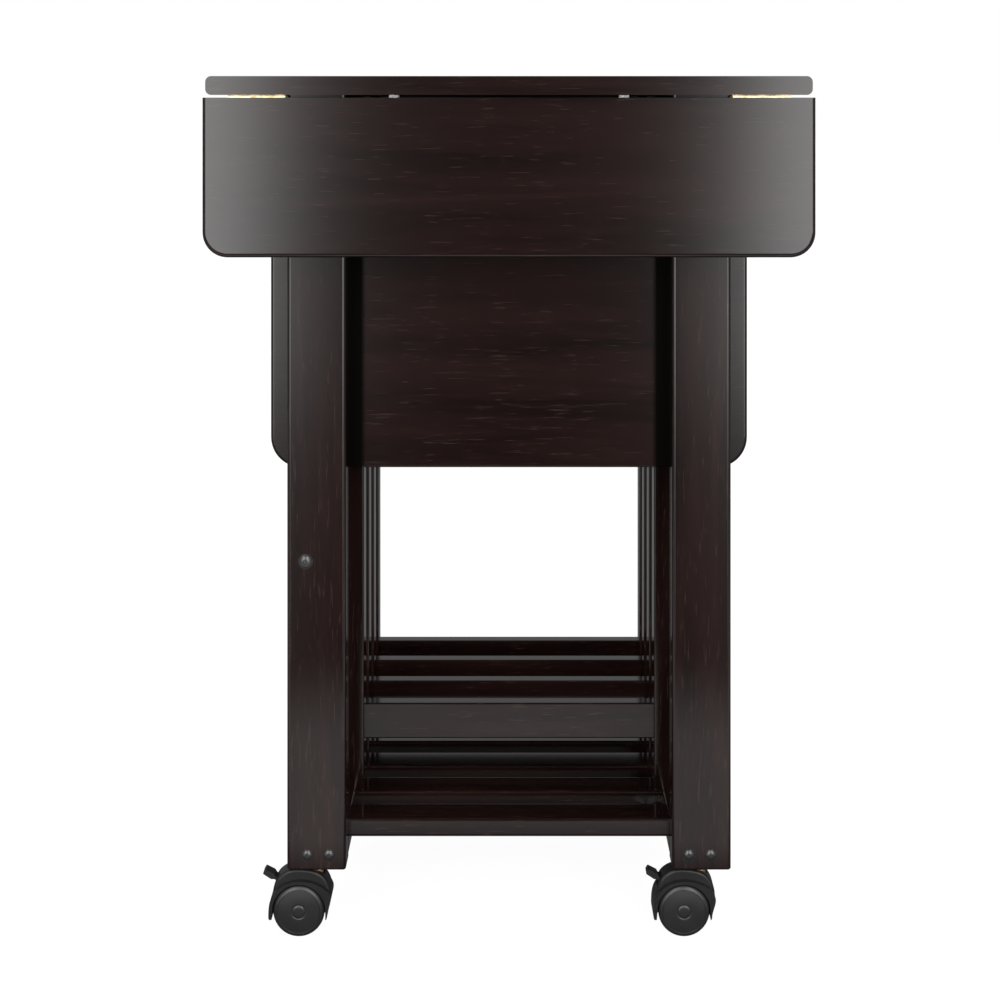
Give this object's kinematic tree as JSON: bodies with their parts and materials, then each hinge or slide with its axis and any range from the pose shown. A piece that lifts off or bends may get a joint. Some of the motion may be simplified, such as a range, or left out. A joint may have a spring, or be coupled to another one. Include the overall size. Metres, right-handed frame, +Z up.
{
  "type": "kitchen island cart",
  "caption": "Dark wood kitchen cart with a short and a long drop leaf, drawer, cupboard and slatted open shelves on locking casters.",
  "frame": {"origin": "on the floor under the middle of the cart", "axes": "+Z up, -Y towards the short drop leaf's end, +X towards the drawer and the doors; the leaf hinges run along X"},
  "size_m": [0.61, 0.6032, 0.87],
  "materials": {
    "espresso_wood": "dark brown stain under a satin lacquer, fine open pores",
    "inner_wood": "plain clear-lacquered inner wood",
    "hinge_brass": "brass plated, lightly dulled",
    "bolt_black": "black coated dome heads",
    "knob_metal": "satin nickel",
    "plain_steel": "zinc plated",
    "hood_plastic": "moulded black, fine texture",
    "wheel_plastic": "moulded black, satin"
  },
  "bodies": {
    "frame": {"back_panel": "espresso_wood", "bar_guides": "inner_wood", "cabinet_floor": "espresso_wood", "caster_collars": "hinge_brass", "caster_stems": "plain_steel", "cupboard_shelf": "espresso_wood", "door_pivots": "plain_steel", "drawer_divider": "espresso_wood", "drawer_runners": "inner_wood", "end_panel_far": "espresso_wood", "end_panel_near": "espresso_wood", "front_top_rail": "espresso_wood", "hinge_pins": "hinge_brass", "hinge_plates_top": "hinge_brass", "hinge_screws_top": "hinge_brass", "leg_bolts": "bolt_black", "leg_far_left": "espresso_wood", "leg_far_right": "espresso_wood", "leg_near_left": "espresso_wood", "leg_near_right": "espresso_wood", "rack_boards": "espresso_wood", "shelf_slats": "espresso_wood", "side_rail_left": "espresso_wood", "side_rail_right": "espresso_wood", "side_slats_left": "espresso_wood", "side_slats_right": "espresso_wood", "support_bars": "plain_steel", "top_board": "espresso_wood", "towel_bar": "espresso_wood", "towel_bar_bolts": "bolt_black"},
    "near_leaf": {"near_leaf": "espresso_wood", "hinge_plates_near_leaf": "hinge_brass", "hinge_screws_near_leaf": "hinge_brass"},
    "far_leaf": {"far_leaf": "espresso_wood", "hinge_plates_far_leaf": "hinge_brass", "hinge_screws_far_leaf": "hinge_brass"},
    "drawer": {"drawer_front": "espresso_wood", "drawer_side_near": "inner_wood", "drawer_side_far": "inner_wood", "drawer_back": "inner_wood", "drawer_bottom": "inner_wood", "drawer_knobs": "knob_metal"},
    "door_near": {"door_near": "espresso_wood", "door_knob_near": "knob_metal"},
    "door_far": {"door_far": "espresso_wood", "door_knob_far": "knob_metal"},
    "hood_near_left": {"caster_hood_near_left": "hood_plastic"},
    "wheel_near_left": {"caster_wheel_near_left": "wheel_plastic", "caster_axle_near_left": "plain_steel"},
    "lever_near_left": {"brake_lever_near_left": "hood_plastic"},
    "hood_near_right": {"caster_hood_near_right": "hood_plastic"},
    "wheel_near_right": {"caster_wheel_near_right": "wheel_plastic", "caster_axle_near_right": "plain_steel"},
    "lever_near_right": {"brake_lever_near_right": "hood_plastic"},
    "hood_far_left": {"caster_hood_far_left": "hood_plastic"},
    "wheel_far_left": {"caster_wheel_far_left": "wheel_plastic", "caster_axle_far_left": "plain_steel"},
    "hood_far_right": {"caster_hood_far_right": "hood_plastic"},
    "wheel_far_right": {"caster_wheel_far_right": "wheel_plastic", "caster_axle_far_right": "plain_steel"}
  },
  "joints": [
    {"name": "caster_swivel_near_left", "type": "hinge", "parent": "frame", "child": "hood_near_left", "pos_m": [-0.19475, -0.2465, 0.052], "axis": [0, 0, 1], "continuous": true},
    {"name": "wheel_spin_near_left", "type": "hinge", "parent": "hood_near_left", "child": "wheel_near_left", "pos_m": [-0.21255, -0.2465, 0.026], "axis": [0, 1, 0], "continuous": true},
    {"name": "brake_near_left", "type": "hinge", "parent": "hood_near_left", "child": "lever_near_left", "pos_m": [-0.23355, -0.2465, 0.0522], "axis": [0, -1, 0], "range_deg": [0, 20]},
    {"name": "caster_swivel_near_right", "type": "hinge", "parent": "frame", "child": "hood_near_right", "pos_m": [0.19475, -0.2465, 0.052], "axis": [0, 0, 1], "continuous": true},
    {"name": "wheel_spin_near_right", "type": "hinge", "parent": "hood_near_right", "child": "wheel_near_right", "pos_m": [0.17695, -0.2465, 0.026], "axis": [0, 1, 0], "continuous": true},
    {"name": "brake_near_right", "type": "hinge", "parent": "hood_near_right", "child": "lever_near_right", "pos_m": [0.15595, -0.2465, 0.0522], "axis": [0, -1, 0], "range_deg": [0, 20]},
    {"name": "caster_swivel_far_left", "type": "hinge", "parent": "frame", "child": "hood_far_left", "pos_m": [-0.19475, 0.2465, 0.052], "axis": [0, 0, 1], "continuous": true},
    {"name": "wheel_spin_far_left", "type": "hinge", "parent": "hood_far_left", "child": "wheel_far_left", "pos_m": [-0.21255, 0.2465, 0.026], "axis": [0, 1, 0], "continuous": true},
    {"name": "caster_swivel_far_right", "type": "hinge", "parent": "frame", "child": "hood_far_right", "pos_m": [0.19475, 0.2465, 0.052], "axis": [0, 0, 1], "continuous": true},
    {"name": "wheel_spin_far_right", "type": "hinge", "parent": "hood_far_right", "child": "wheel_far_right", "pos_m": [0.17695, 0.2465, 0.026], "axis": [0, 1, 0], "continuous": true},
    {"name": "near_leaf_hinge", "type": "hinge", "parent": "frame", "child": "near_leaf", "pos_m": [0, -0.2804, 0.8488], "axis": [-1, 0, 0], "range_deg": [0, 90]},
    {"name": "far_leaf_hinge", "type": "hinge", "parent": "frame", "child": "far_leaf", "pos_m": [0, 0.2804, 0.8488], "axis": [1, 0, 0], "range_deg": [0, 90]},
    {"name": "drawer_slide", "type": "slide", "parent": "frame", "child": "drawer", "axis": [1, 0, 0], "range_m": [0, 0.26]},
    {"name": "door_near_hinge", "type": "hinge", "parent": "frame", "child": "door_near", "pos_m": [0.2125, -0.2175, 0.59], "axis": [0, 0, -1], "range_deg": [0, 90]},
    {"name": "door_far_hinge", "type": "hinge", "parent": "frame", "child": "door_far", "pos_m": [0.2125, 0.2175, 0.59], "axis": [0, 0, 1], "range_deg": [0, 90]}
  ]
}
